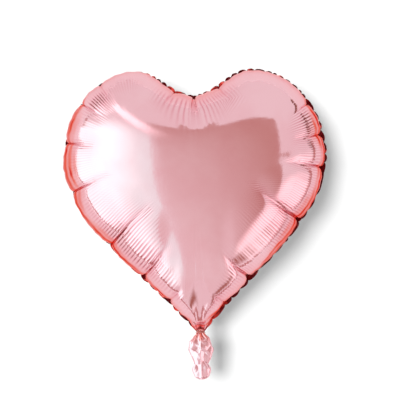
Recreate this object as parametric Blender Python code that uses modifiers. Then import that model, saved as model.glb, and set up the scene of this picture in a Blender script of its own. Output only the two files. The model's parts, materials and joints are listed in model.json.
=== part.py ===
"""A heart-shaped foil balloon, inflated and lying on its back, with its tied neck and its loose tail.

Metres, +Z up. The heart stands along +Y, its tail points along -Y, and the front film faces +Z. The
origin is the middle of the small flat that the balloon rests on.
"""

import math

import bmesh
import bpy
import numpy as np
from mathutils import Matrix

MM = 0.001

# The heart, seen from the front: one half of its outer edge as three cubic curves, from the cleft over
# the lobe and down the side to the neck. Each row is a start, two handles and an end, in millimetres.
HEART_CENTRE_Y = 3.0
HALF_OUTLINE = (
    ((0, 120), (34, 124), (52, 156.5), (83, 156.5)),
    ((83, 156.5), (140, 156.5), (190.5, 100), (190.5, 30)),
    ((190.5, 30), (190.5, -60), (88, -128), (12, -217)),
)
SEAM_HEIGHT = 82.0
SEAL_WIDTH = 5.0
REST_RADIUS = 26.0

# Films. Each is far thinner on the real balloon: these thicknesses stand in for it.
FILM = 0.6
VALVE_FILM = 0.4
GAP = 0.3
VALVE_FACE = GAP / 2 + VALVE_FILM
FLANGE_INNER = VALVE_FACE + GAP
FLANGE_OUTER = FLANGE_INNER + FILM

# How the heart is divided: pillows between creases round the edge, and rings from edge to crown.
PILLOWS_PER_HALF = 8
COLUMNS_PER_PILLOW = 6
RINGS = 9
RING_CROWDING = 1.7
CREASE_DRAW = 5.0
CREASE_REACH = 0.6
EDGE_SCALLOP = 1.0

# The neck and tail, in distances below the heart's centre.
NECK_TOP = 217.8
NECK_HALF_WIDTH = 5.5
SWAY_AXIS = NECK_TOP + NECK_HALF_WIDTH
NECK_BOTTOM = 226.0
NOD_AXIS = 227.8
TAIL_TOP = NOD_AXIS + 0.5
TAIL_BELLY = 248.0
TAIL_WAIST = 270.0
FOLD_AXIS = TAIL_WAIST + 3.0
TIP_TOP = FOLD_AXIS + 0.5
TIP_END = 293.0
TAIL_BELLY_HALF = 17.5
TAIL_WAIST_HALF = 12.0
TIP_HALF = 13.5
THREAD_RADIUS = 0.6
KNOT_RADIUS = 1.4
THREAD_END = 7.0

# The inner valve: a flat sleeve of two films that lie shut against each other.
VALVE_START = 216.6
VALVE_HINGE = 207.7
VALVE_END = 122.0
VALVE_HALF_WIDTH = 14.0

ROSE = (0.80, 0.42, 0.44)
CLEAR_FILM = (0.86, 0.80, 0.80)
SEAL_RED = (0.55, 0.10, 0.10)
THREAD_GOLD = (0.72, 0.38, 0.14)


def remove_scene_objects():
    for existing in list(bpy.data.objects):
        bpy.data.objects.remove(existing, do_unlink=True)


def new_collection(name):
    collection = bpy.data.collections.new(name)
    bpy.context.scene.collection.children.link(collection)
    return collection


def new_material(name, colour, roughness, metallic):
    material = bpy.data.materials.new(name)
    material.use_nodes = True
    shader = material.node_tree.nodes["Principled BSDF"]
    shader.inputs["Base Color"].default_value = (*colour, 1.0)
    shader.inputs["Roughness"].default_value = roughness
    shader.inputs["Metallic"].default_value = metallic
    return material


def add_object(name, data, collection, material):
    item = bpy.data.objects.new(name, data)
    data.materials.append(material)
    collection.objects.link(item)
    return item


def along(distance_below):
    """The Y of a place that is this many millimetres below the heart's centre."""
    return (HEART_CENTRE_Y - distance_below) * MM


# Outline


def bezier_points(corners, count):
    start, first, second, end = (np.array(corner, float) for corner in corners)
    t = np.linspace(0.0, 1.0, count)[:, None]
    u = 1.0 - t
    return u**3 * start + 3 * u**2 * t * first + 3 * u * t**2 * second + t**3 * end


def even_spacing(points, count):
    """The same line read at evenly spaced places."""
    steps = np.linalg.norm(np.diff(points, axis=0), axis=1)
    travelled = np.concatenate([[0.0], np.cumsum(steps)])
    wanted = np.linspace(0.0, travelled[-1], count)
    return np.column_stack([np.interp(wanted, travelled, points[:, axis]) for axis in (0, 1)])


def half_outline():
    """The heart's right-hand edge and the directions that point into the heart from it."""
    fine = np.concatenate([bezier_points(curve, 200)[:-1] for curve in HALF_OUTLINE])
    fine = np.concatenate([fine, [HALF_OUTLINE[-1][-1]]])
    edge = even_spacing(fine, PILLOWS_PER_HALF * COLUMNS_PER_PILLOW + 1)
    tangent = np.gradient(edge, axis=0)
    tangent[0] = (1.0, 0.0)
    tangent /= np.linalg.norm(tangent, axis=1)[:, None]
    inward = np.column_stack([tangent[:, 1], -tangent[:, 0]])
    return edge, inward


def both_halves(half):
    """A closed loop: down the right-hand side, across the neck and up the left-hand side."""
    mirrored = half[:0:-1] * np.array([-1.0, 1.0])
    return np.concatenate([half, mirrored])


def crease_strength():
    """1 on each crease, falling to 0 in the middle of a pillow, for every column of the loop."""
    column = np.arange(PILLOWS_PER_HALF * COLUMNS_PER_PILLOW + 1)
    half = 1.0 - np.abs(np.sin(math.pi * column / COLUMNS_PER_PILLOW))
    return np.concatenate([half, half[:0:-1]])[:, None]


# Height of the blown-up film


def pressed_film(points, triangles, held):
    """Where an elastic sheet, held along the seam, would be pushed to by an even pressure."""
    count = len(points)
    stiffness = np.zeros((count, count))
    load = np.zeros(count)
    for triangle in triangles:
        corner = points[list(triangle)]
        opposite = np.array([corner[2] - corner[1], corner[0] - corner[2], corner[1] - corner[0]])
        area = 0.5 * abs(opposite[0][0] * opposite[1][1] - opposite[0][1] * opposite[1][0])
        stiffness[np.ix_(triangle, triangle)] += opposite @ opposite.T / (4.0 * area)
        load[list(triangle)] += area / 3.0
    free = np.setdiff1d(np.arange(count), held)
    pushed = np.zeros(count)
    pushed[free] = np.linalg.solve(stiffness[np.ix_(free, free)], load[free])
    return pushed / pushed.max()


def foil_profile(pushed):
    """Foil doesn't stretch, so its dome is fuller than an ellipsoid and meets the seam steeply."""
    ellipse = np.sqrt(pushed)
    return ellipse * (1.18 - 0.18 * ellipse**3)


def plan_rings(seam):
    """Rings of plan points from the seam in to the circle that the balloon rests on."""
    span = np.linalg.norm(seam, axis=1)[:, None]
    circle = seam / span * REST_RADIUS
    steps = (np.arange(RINGS + 1) / RINGS) ** RING_CROWDING
    return np.array([seam + (circle - seam) * step for step in steps])


def ring_quads(rings, columns):
    for ring in range(rings - 1):
        for column in range(columns):
            following = (column + 1) % columns
            outer, inner = ring * columns, (ring + 1) * columns
            yield (outer + column, inner + column, inner + following, outer + following)


def dome_heights(rings):
    """The dome's height at each ring and column, from 0 at the seam, and at its crown, at most 1."""
    columns = rings.shape[1]
    points = np.concatenate([rings.reshape(-1, 2), [[0.0, 0.0]]])
    centre = len(points) - 1
    triangles = []
    for a, b, c, d in ring_quads(len(rings), columns):
        triangles += [(a, b, c), (a, c, d)]
    last = (len(rings) - 1) * columns
    triangles += [(last + i, centre, last + (i + 1) % columns) for i in range(columns)]
    profile = foil_profile(pressed_film(points, triangles, np.arange(columns)))
    return profile[:-1].reshape(len(rings), columns), profile[-1]


# Panels


def panel_mesh(name, facing):
    """One film of the heart, as the open outer surface of its dome and flat edge."""
    half_edge, half_inward = half_outline()
    strength = crease_strength()
    edge = both_halves(half_edge)
    inward = both_halves(half_inward)
    columns = len(edge)
    seam = edge + inward * SEAL_WIDTH
    edge = edge + inward * EDGE_SCALLOP * strength
    centre = np.array([0.0, -HEART_CENTRE_Y])
    rings = plan_rings(seam - centre)
    heights, crown = dome_heights(rings)

    rest_level = SEAM_HEIGHT - FLANGE_OUTER
    full_size = rest_level / heights[-1].min()
    heights = heights * full_size
    for ring in range(1, RINGS):
        depth = CREASE_DRAW * max(0.0, 1.0 - (ring / RINGS) / CREASE_REACH)
        rings[ring] += inward * depth * strength
        heights[ring] -= depth * strength[:, 0]
    if facing < 0:
        heights[-1] = rest_level

    build = bmesh.new()
    flat = [build.verts.new((x, y, 0.0)) for x, y in edge - centre]
    domed = [
        build.verts.new((x, y, height))
        for ring, level in zip(rings, heights)
        for (x, y), height in zip(ring, level)
    ]
    for column in range(columns):
        following = (column + 1) % columns
        build.faces.new((flat[column], domed[column], domed[following], flat[following]))
    for quad in ring_quads(len(rings), columns):
        build.faces.new([domed[index] for index in quad])
    innermost = domed[-columns:]
    if facing < 0:
        build.faces.new(innermost[::-1])
    else:
        top = build.verts.new((0.0, 0.0, crown * full_size))
        for column in range(columns):
            build.faces.new((innermost[column], top, innermost[(column + 1) % columns]))
    if facing < 0:
        bmesh.ops.reverse_faces(build, faces=build.faces)
    bmesh.ops.scale(build, vec=(MM, MM, facing * MM), verts=build.verts)
    bmesh.ops.translate(
        build, vec=(0, 0, (SEAM_HEIGHT + facing * FLANGE_OUTER) * MM), verts=build.verts
    )
    mesh = bpy.data.meshes.new(name)
    build.to_mesh(mesh)
    build.free()
    mesh.shade_smooth()
    return mesh


def make_panel(name, facing, collection, material):
    panel = add_object(name, panel_mesh(name, facing), collection, material)
    shell = panel.modifiers.new("film", "SOLIDIFY")
    shell.thickness = FILM * MM
    shell.offset = -1.0
    shell.use_even_offset = True
    return panel


def make_edge_seal(collection, material):
    """The band round the heart where the two films are fused, open at the neck for the valve."""
    half_edge, half_inward = half_outline()
    margin = EDGE_SCALLOP + GAP
    outer = both_halves(half_edge + half_inward * margin)
    inner = both_halves(half_edge + half_inward * (SEAL_WIDTH - GAP))
    lift = np.array([0.0, HEART_CENTRE_Y])
    count = len(outer)
    neck = count // 2
    build = bmesh.new()
    pairs = [
        [build.verts.new((*(point + lift) * MM, SEAM_HEIGHT * MM)) for point in (outer[i], inner[i])]
        for i in range(count)
    ]
    for i in range(count):
        following = (i + 1) % count
        if i == neck:
            continue
        build.faces.new((pairs[i][0], pairs[i][1], pairs[following][1], pairs[following][0]))
    bmesh.ops.recalc_face_normals(build, faces=build.faces)
    mesh = bpy.data.meshes.new("edge_seal")
    build.to_mesh(mesh)
    build.free()
    band = add_object("edge_seal", mesh, collection, material)
    thick = band.modifiers.new("band", "SOLIDIFY")
    thick.thickness = 2 * VALVE_FACE * MM
    thick.offset = 0.0
    return band


# Flat films of the neck, tail and valve


def flat_film(name, outline, low, high, collection, material):
    """A flat film whose half outline is (half width, distance below the heart's centre) pairs."""
    curve = bpy.data.curves.new(name, "CURVE")
    curve.dimensions = "2D"
    curve.fill_mode = "BOTH"
    curve.extrude = (high - low) / 2 * MM
    right = [(x * MM, along(distance)) for x, distance in outline]
    left = [(-x, y) for x, y in reversed(right)]
    points = right + left
    spline = curve.splines.new("POLY")
    spline.points.add(len(points) - 1)
    for point, (x, y) in zip(spline.points, points):
        point.co = (x, y, 0.0, 1.0)
    spline.use_cyclic_u = True
    film = add_object(name, curve, collection, material)
    film.location.z = (SEAM_HEIGHT + (low + high) / 2) * MM
    return film


def ply_pair(names, outline, collection, material):
    """A front and a rear film of the same outline, a valve's thickness apart."""
    front, rear = names
    flat_film(front, outline, FLANGE_INNER, FLANGE_OUTER, collection, material)
    flat_film(rear, outline, -FLANGE_OUTER, -FLANGE_INNER, collection, material)


def valve_pair(names, outline, collection, material):
    front, rear = names
    flat_film(front, outline, GAP / 2, VALVE_FACE, collection, material)
    flat_film(rear, outline, -VALVE_FACE, -GAP / 2, collection, material)


def eased(start, end, steps):
    """A side that leaves one (half width, distance) and reaches the next on a smooth S."""
    for step in range(steps):
        t = step / steps
        ease = 0.5 - 0.5 * math.cos(math.pi * t)
        yield (start[0] + (end[0] - start[0]) * ease, start[1] + (end[1] - start[1]) * t)


def neck_outline(margin):
    """Round about the sway axis at its top, so that it turns there, and straight below."""
    radius = NECK_HALF_WIDTH - margin
    arc = [math.radians(90 - 11.25 * step) for step in range(9)]
    side = [(radius * math.cos(a), SWAY_AXIS - radius * math.sin(a)) for a in arc]
    return side[1:] + [(radius, NECK_BOTTOM - margin)]


def tail_outline(margin):
    top = (NECK_HALF_WIDTH - 0.5 - margin, TAIL_TOP)
    belly = (TAIL_BELLY_HALF - margin, TAIL_BELLY)
    waist = (TAIL_WAIST_HALF - margin, TAIL_WAIST)
    return [*eased(top, belly, 7), *eased(belly, waist, 7), waist]


def tail_valve_outline():
    top = (NECK_HALF_WIDTH - 1.5, TAIL_TOP + 0.4)
    wide = (VALVE_HALF_WIDTH - 1.0, TAIL_BELLY)
    end = (VALVE_HALF_WIDTH - 3.5, TAIL_WAIST - 6.0)
    return [*eased(top, wide, 6), *eased(wide, end, 4), end]


def tip_outline():
    """A lobe that starts at the waist and ends round."""
    start = (TAIL_WAIST_HALF, TIP_TOP)
    middle = (TIP_TOP + TIP_END) / 2
    reach = TIP_END - middle
    arc = [math.radians(12.0 * step) for step in range(8)]
    lobe = [(TIP_HALF * math.cos(a), middle + reach * math.sin(a)) for a in arc]
    return [start, *lobe]


def valve_throat_outline():
    return [(6.5, VALVE_START), (9.0, VALVE_HINGE + 0.3)]


def valve_flap_outline():
    start = (9.0, VALVE_HINGE - 0.3)
    wide = (VALVE_HALF_WIDTH, VALVE_HINGE - 22.0)
    corner = 8.0
    arc = [math.radians(15.0 * step) for step in range(7)]
    side = VALVE_HALF_WIDTH - corner
    end = [(side + corner * math.cos(a), VALVE_END + corner * (1 - math.sin(a))) for a in arc]
    return [*eased(start, wide, 5), wide, *end]


# The tie


def make_neck_tie(collection, material):
    """A loop of thread drawn round the gathered neck: two round ends joined by straight runs."""
    clear = GAP + THREAD_RADIUS
    round_end = FLANGE_OUTER + clear
    run = NECK_HALF_WIDTH - GAP
    points = []
    for side, turn in ((1, -90), (-1, 90)):
        for step in range(9):
            angle = math.radians(turn + 22.5 * step)
            points.append((side * run + round_end * math.cos(angle), round_end * math.sin(angle)))
    curve = bpy.data.curves.new("neck_tie", "CURVE")
    curve.dimensions = "3D"
    curve.bevel_depth = THREAD_RADIUS * MM
    curve.bevel_resolution = 2
    spline = curve.splines.new("POLY")
    spline.points.add(len(points) - 1)
    for point, (x, z) in zip(spline.points, points):
        point.co = (x * MM, 0.0, z * MM, 1.0)
    spline.use_cyclic_u = True
    loop = add_object("neck_tie", curve, collection, material)
    loop.location = (0.0, along(SWAY_AXIS), SEAM_HEIGHT * MM)
    return loop


def move_to(item, collection):
    for other in list(item.users_collection):
        other.objects.unlink(item)
    collection.objects.link(item)


def make_tie_knot(collection, cutters, material):
    """The knot in front of the loop, with the thread's two cut ends lying to either side."""
    height = FLANGE_OUTER + 2 * (GAP + THREAD_RADIUS) + KNOT_RADIUS
    bpy.ops.mesh.primitive_uv_sphere_add(segments=16, ring_count=10, radius=KNOT_RADIUS * MM)
    knot = bpy.context.object
    knot.name = "tie_knot"
    knot.data.name = "tie_knot"
    knot.data.transform(Matrix.Diagonal((1.35, 0.9, 0.85, 1.0)))
    knot.data.shade_smooth()
    knot.data.materials.append(material)
    knot.location = (0.0, along(SWAY_AXIS), (SEAM_HEIGHT + height) * MM)
    move_to(knot, collection)
    for name, turn in (("knot_end_left", -82), ("knot_end_right", 100)):
        bpy.ops.mesh.primitive_cone_add(
            vertices=10, radius1=0.45 * MM, radius2=0.3 * MM, depth=THREAD_END * MM
        )
        end = bpy.context.object
        end.name = name
        end.data.transform(Matrix.Translation((0, 0, THREAD_END / 2 * MM)))
        end.rotation_euler = (0.0, math.radians(turn), 0.0)
        end.location = knot.location
        end.hide_render = True
        end.display_type = "WIRE"
        move_to(end, cutters)
        union = knot.modifiers.new(name, "BOOLEAN")
        union.operation = "UNION"
        union.object = end
    return knot


def main():
    remove_scene_objects()
    balloon = new_collection("heart_foil_balloon")
    cutters = new_collection("cutters")
    front_foil = new_material("front_foil", ROSE, 0.14, 1.0)
    rear_foil = new_material("rear_foil", ROSE, 0.16, 1.0)
    tail_foil = new_material("tail_foil", ROSE, 0.22, 1.0)
    seal_film = new_material("seal_film", SEAL_RED, 0.25, 1.0)
    valve_film = new_material("valve_film", CLEAR_FILM, 0.30, 0.0)
    thread = new_material("thread", THREAD_GOLD, 0.45, 0.3)

    make_panel("front_panel", 1, balloon, front_foil)
    make_panel("rear_panel", -1, balloon, rear_foil)
    make_edge_seal(balloon, seal_film)

    throat_names = ("valve_front_film", "valve_rear_film")
    valve_pair(throat_names, valve_throat_outline(), balloon, valve_film)
    flap_names = ("valve_front_flap", "valve_rear_flap")
    valve_pair(flap_names, valve_flap_outline(), balloon, valve_film)

    ply_pair(("neck_front_ply", "neck_rear_ply"), neck_outline(0.0), balloon, tail_foil)
    flat_film(
        "neck_valve_plies", neck_outline(0.5), -VALVE_FACE, VALVE_FACE, balloon, valve_film
    )
    make_neck_tie(balloon, thread)
    make_tie_knot(balloon, cutters, thread)

    ply_pair(("tail_front_ply", "tail_rear_ply"), tail_outline(0.0), balloon, tail_foil)
    tail_valve_names = ("tail_valve_front_ply", "tail_valve_rear_ply")
    valve_pair(tail_valve_names, tail_valve_outline(), balloon, valve_film)
    ply_pair(("tail_tip_front_ply", "tail_tip_rear_ply"), tip_outline(), balloon, tail_foil)


main()
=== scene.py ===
"""The looks of the heart foil balloon: rose pink mirror foil, lying on a white floor, seen from above."""

import json
import math

import bpy
import numpy as np
from mathutils import Matrix, Vector
from mathutils.kdtree import KDTree


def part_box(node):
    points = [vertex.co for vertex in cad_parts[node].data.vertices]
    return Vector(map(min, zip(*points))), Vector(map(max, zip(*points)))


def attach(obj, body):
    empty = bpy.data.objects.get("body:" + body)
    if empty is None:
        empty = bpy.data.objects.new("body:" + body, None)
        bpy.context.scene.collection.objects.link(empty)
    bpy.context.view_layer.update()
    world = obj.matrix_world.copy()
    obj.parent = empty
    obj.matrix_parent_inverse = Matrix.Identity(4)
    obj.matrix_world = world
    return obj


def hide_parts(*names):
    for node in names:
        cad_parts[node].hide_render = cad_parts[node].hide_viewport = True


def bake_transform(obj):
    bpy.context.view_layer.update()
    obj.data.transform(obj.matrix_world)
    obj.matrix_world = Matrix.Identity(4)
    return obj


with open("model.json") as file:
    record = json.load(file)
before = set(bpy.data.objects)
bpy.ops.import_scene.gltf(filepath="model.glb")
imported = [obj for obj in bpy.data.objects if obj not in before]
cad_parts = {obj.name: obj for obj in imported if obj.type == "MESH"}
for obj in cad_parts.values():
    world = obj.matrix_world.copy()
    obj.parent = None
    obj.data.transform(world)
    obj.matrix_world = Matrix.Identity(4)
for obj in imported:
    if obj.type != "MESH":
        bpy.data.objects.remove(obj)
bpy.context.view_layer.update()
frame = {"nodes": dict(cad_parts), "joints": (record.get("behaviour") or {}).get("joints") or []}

MM = 0.001
scene = bpy.context.scene
nodes = frame["nodes"]
joints = {joint["name"]: joint for joint in frame["joints"]}

# Places taken from the frame, in millimetres.
SEAM_Z = joints["tail_sway"]["pos_m"][2] / MM
TIE_Y = joints["tail_sway"]["pos_m"][1] / MM
TAIL_END_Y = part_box("tail_tip_front_ply")[0].y / MM
FRONT_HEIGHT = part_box("front_panel")[1].z / MM - SEAM_Z

# The heart's edge: one half as cubic curves, in millimetres from the heart's centre.
HEART_LIFT = 3.0
HALF_OUTLINE = (
    ((0, 120), (34, 124), (52, 156.5), (83, 156.5)),
    ((83, 156.5), (140, 156.5), (190.5, 100), (190.5, 30)),
    ((190.5, 30), (190.5, -60), (88, -128), (6.5, -222.5)),
)
SEAL_WIDTH = 5.0
NECK_SEAL_WIDTH = 1.5
NECK_TAPER = 28.0
SEAL_GAP = 0.15
MIDDLE_RADIUS = 2.0
FLOOR_CLEARANCE = 0.02

# The grids. The columns run from the edge to the middle, and the rings run round the heart.
FINE_HALF = 999
COARSE_HALF = 59
COARSE_RINGS = 26
EDGE_RINGS = 4
NEAR_RINGS = 36
NEAR_REACH = 75.0
MIDDLE_RINGS = (10, 16)

# Creases: the share of the half edge from cleft to neck, the length and the depth, in millimetres.
LEFT_CREASES = (
    (0.045, 30, 1.8), (0.25, 28, 2.2), (0.315, 40, 3.0), (0.42, 44, 3.6), (0.545, 66, 5.0),
    (0.705, 84, 5.2), (0.815, 72, 4.0), (0.90, 42, 2.6),
)
RIGHT_CREASES = (
    (0.06, 32, 2.0), (0.33, 36, 3.2), (0.415, 46, 4.2), (0.50, 62, 5.4), (0.645, 88, 7.2),
    (0.83, 84, 6.0), (0.915, 42, 2.6),
)
CLEFT_CREASE = (52, 3.6)
NECK_CREASE = (30, 1.5)

# The relief on the film, in millimetres. An end is where something starts to fade and over how far.
CREASE_WANDER = 2.0
PILLOW_EDGE = 5.0
SHOULDER_END = (15.0, 20.0)
OVERHANG_END = (12.0, 34.0)
EVEN_NECK_END = (45.0, 50.0)
GROOVE_WIDTH = 0.8
# The width of the painted shade along each crease.
FOLD_SHADE_WIDTH = 0.9
RIPPLE_HEIGHTS = (0.15, 0.22)
BUNDLE_HEIGHT = 0.4
BUNDLE_PITCH = 3.7
TERRACE_HEIGHT = 0.45
TERRACE_PITCH = 8.5
FACET_HEIGHT = 0.9
FACET_PITCH = 17.0
PUCKER_PITCH = 12.0
GATHER_RADIUS = 2.7
# How far in from the seam the painted orange-red reflection reaches, and the pitch of its stripes.
CORAL_REFLECTION_REACH = 40.0
CORAL_REFLECTION_STRIPE_PITCH = 12.0

# The tail: how many pleats it has at the tie, and its crumpled foil, in millimetres.
TAIL_PLEATS = 8
TAIL_RIDGE_HEIGHT = 1.5
TAIL_FACETS = (9.0, 13.0, 17.0, 23.0)
TAIL_FACET_HEIGHT = 0.85


# Small tools


def smooth(x):
    x = np.clip(x, 0.0, 1.0)
    return x * x * (3.0 - 2.0 * x)


def rise(x, start, over):
    """0 up to start, and then smoothly up to 1 over a length."""
    return smooth((x - start) / over)


def falloff(x, width, power=1):
    """1 where x is 0, falling on both sides over about one width."""
    return np.exp(-((np.abs(x) / width) ** power))


def between(first, second, share):
    return first + (second - first) * share


def zigzag(x):
    """A triangle wave between -0.5 and 0.5 that repeats at every whole number."""
    return np.abs(2.0 * (x % 1.0) - 1.0) - 0.5


def wave_noise(x, pitch, seed):
    """Smooth random values between -1 and 1 that change over about one pitch."""
    values = np.random.default_rng(seed).uniform(-1.0, 1.0, 512)
    place = np.asarray(x, float) / pitch
    low = np.floor(place).astype(int)
    share = smooth(place - low)
    return values[low % len(values)] * (1.0 - share) + values[(low + 1) % len(values)] * share


def spline_matrix(places, wanted, periodic=False):
    """The matrix that reads values given at places on a smooth cubic spline, at the wanted places."""
    count = len(places)
    step = np.diff(places)
    bend = np.zeros((count, count))
    change = np.zeros((count, count))
    for i in range(1, count - 1):
        before, after = step[i - 1], step[i]
        bend[i, i - 1 : i + 2] = (before, 2.0 * (before + after), after)
        change[i, i - 1 : i + 2] = (6.0 / before, -6.0 / before - 6.0 / after, 6.0 / after)
    if periodic:
        before, after = step[-1], step[0]
        bend[0, [0, 1, count - 2]] = (2.0 * (before + after), after, before)
        change[0, [0, 1, count - 2]] = (-6.0 / before - 6.0 / after, 6.0 / after, 6.0 / before)
        bend[-1, [0, -1]] = (1.0, -1.0)
    else:
        bend[0, 0] = bend[-1, -1] = 1.0
    curvature = np.linalg.solve(bend, change)
    piece = np.clip(np.searchsorted(places, wanted, side="right") - 1, 0, count - 2)
    width = step[piece]
    far = (wanted - places[piece]) / width
    near = 1.0 - far
    rows = np.arange(len(wanted))
    value = np.zeros((len(wanted), count))
    value[rows, piece] += near
    value[rows, piece + 1] += far
    bent = (near**3 - near)[:, None] * curvature[piece] + (far**3 - far)[:, None] * curvature[piece + 1]
    return value + bent * (width**2 / 6.0)[:, None]


def bezier_points(corners, count):
    start, first, second, end = (np.array(corner, float) for corner in corners)
    t = np.linspace(0.0, 1.0, count)[:, None]
    u = 1.0 - t
    return u**3 * start + 3 * u**2 * t * first + 3 * u * t**2 * second + t**3 * end


def half_edge(intervals, points_per_curve=500):
    """The right-hand edge, the directions into the heart and the distance from the cleft."""
    fine = np.concatenate([bezier_points(curve, points_per_curve)[:-1] for curve in HALF_OUTLINE])
    fine = np.concatenate([fine, [HALF_OUTLINE[-1][-1]]])
    steps = np.linalg.norm(np.diff(fine, axis=0), axis=1)
    travelled = np.concatenate([[0.0], np.cumsum(steps)])
    station = np.linspace(0.0, travelled[-1], intervals + 1)
    edge = np.column_stack([np.interp(station, travelled, fine[:, axis]) for axis in (0, 1)])
    tangent = np.gradient(edge, axis=0)
    tangent[0] = (1.0, 0.0)
    tangent /= np.linalg.norm(tangent, axis=1)[:, None]
    inward = np.column_stack([tangent[:, 1], -tangent[:, 0]])
    return edge + np.array([0.0, HEART_LIFT]), inward, station


def closed_loop(half, middle):
    """Down the right-hand side, through the middle of the neck and up the left-hand side."""
    mirror = np.array([-1.0, 1.0]) if half.ndim == 2 else 1.0
    return np.concatenate([half, [middle], half[:0:-1] * mirror])


def heart_loop(intervals):
    """The closed edge, the seam inside it, the ways in, the distances from the cleft and the sides."""
    edge, inward, station = half_edge(intervals)
    width = between(SEAL_WIDTH, NECK_SEAL_WIDTH, rise(station, station[-1] - NECK_TAPER, NECK_TAPER))
    edge_loop = closed_loop(edge, (0.0, edge[-1, 1]))
    inward_loop = closed_loop(inward, (0.0, 1.0))
    width_loop = closed_loop(width, width[-1])
    station_loop = closed_loop(station, station[-1])
    side = np.sign(edge_loop[:, 0])
    side[[0, intervals + 1]] = 1.0
    return edge_loop, edge_loop + inward_loop * width_loop[:, None], inward_loop, station_loop, side


def placed(name, data):
    item = bpy.data.objects.new(name, data)
    scene.collection.objects.link(item)
    return item


def new_object(name, points, faces):
    """A smooth mesh object, from points in millimetres."""
    mesh = bpy.data.meshes.new(name)
    mesh.from_pydata((np.asarray(points) * MM).tolist(), [], faces)
    mesh.shade_smooth()
    return placed(name, mesh)


def add_point_values(item, name, values):
    attribute = item.data.attributes.new(name, "FLOAT", "POINT")
    attribute.data.foreach_set("value", np.asarray(values, np.float32))


# The smooth dome


def quads_between(outer, inner):
    """Quads between two closed rings of point numbers of the same length."""
    return np.column_stack([outer, inner, np.roll(inner, -1), np.roll(outer, -1)])


def pressed_film(points, triangles, held):
    """Where an elastic sheet, held along the seam, would be pushed to by an even pressure."""
    corner = points[triangles]
    opposite = np.stack(
        [corner[:, 2] - corner[:, 1], corner[:, 0] - corner[:, 2], corner[:, 1] - corner[:, 0]], axis=1
    )
    cross = opposite[:, 0, 0] * opposite[:, 1, 1] - opposite[:, 0, 1] * opposite[:, 1, 0]
    area = 0.5 * np.abs(cross)
    local = np.einsum("tik,tjk->tij", opposite, opposite) / (4.0 * area[:, None, None])
    count = len(points)
    stiffness = np.zeros((count, count))
    load = np.zeros(count)
    for i in range(3):
        np.add.at(load, triangles[:, i], area / 3.0)
        for j in range(3):
            np.add.at(stiffness, (triangles[:, i], triangles[:, j]), local[:, i, j])
    free = np.setdiff1d(np.arange(count), held)
    pushed = np.zeros(count)
    pushed[free] = np.linalg.solve(stiffness[np.ix_(free, free)], load[free])
    return pushed / pushed.max()


def foil_profile(pushed, fuller=0.18):
    """Foil doesn't stretch, so its dome is fuller than an ellipsoid and meets the seam steeply."""
    ellipse = np.sqrt(np.clip(pushed, 0.0, None))
    return ellipse * (1.0 + fuller - fuller * ellipse**3)


def middle_circle(seam):
    return seam / np.linalg.norm(seam, axis=1)[:, None] * MIDDLE_RADIUS


def coarse_push():
    """How far the film is pushed up on a coarse grid, and how far in each ring lies."""
    seam = heart_loop(COARSE_HALF)[1]
    circle = middle_circle(seam)
    ways = (np.arange(COARSE_RINGS + 1) / COARSE_RINGS) ** 1.5
    rings = np.array([seam + (circle - seam) * way for way in ways])
    columns = len(seam)
    points = np.concatenate([rings.reshape(-1, 2), [[0.0, 0.0]]])
    numbers = np.arange(len(rings) * columns).reshape(len(rings), columns)
    quads = np.concatenate([quads_between(a, b) for a, b in zip(numbers, numbers[1:])])
    centre = np.full(columns, len(points) - 1)
    cap = np.column_stack([numbers[-1], centre, np.roll(numbers[-1], -1)])
    triangles = np.concatenate([quads[:, [0, 1, 2]], quads[:, [0, 2, 3]], cap])
    pushed = pressed_film(points, triangles, numbers[0])
    return ways, pushed[:-1].reshape(len(rings), columns)


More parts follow.
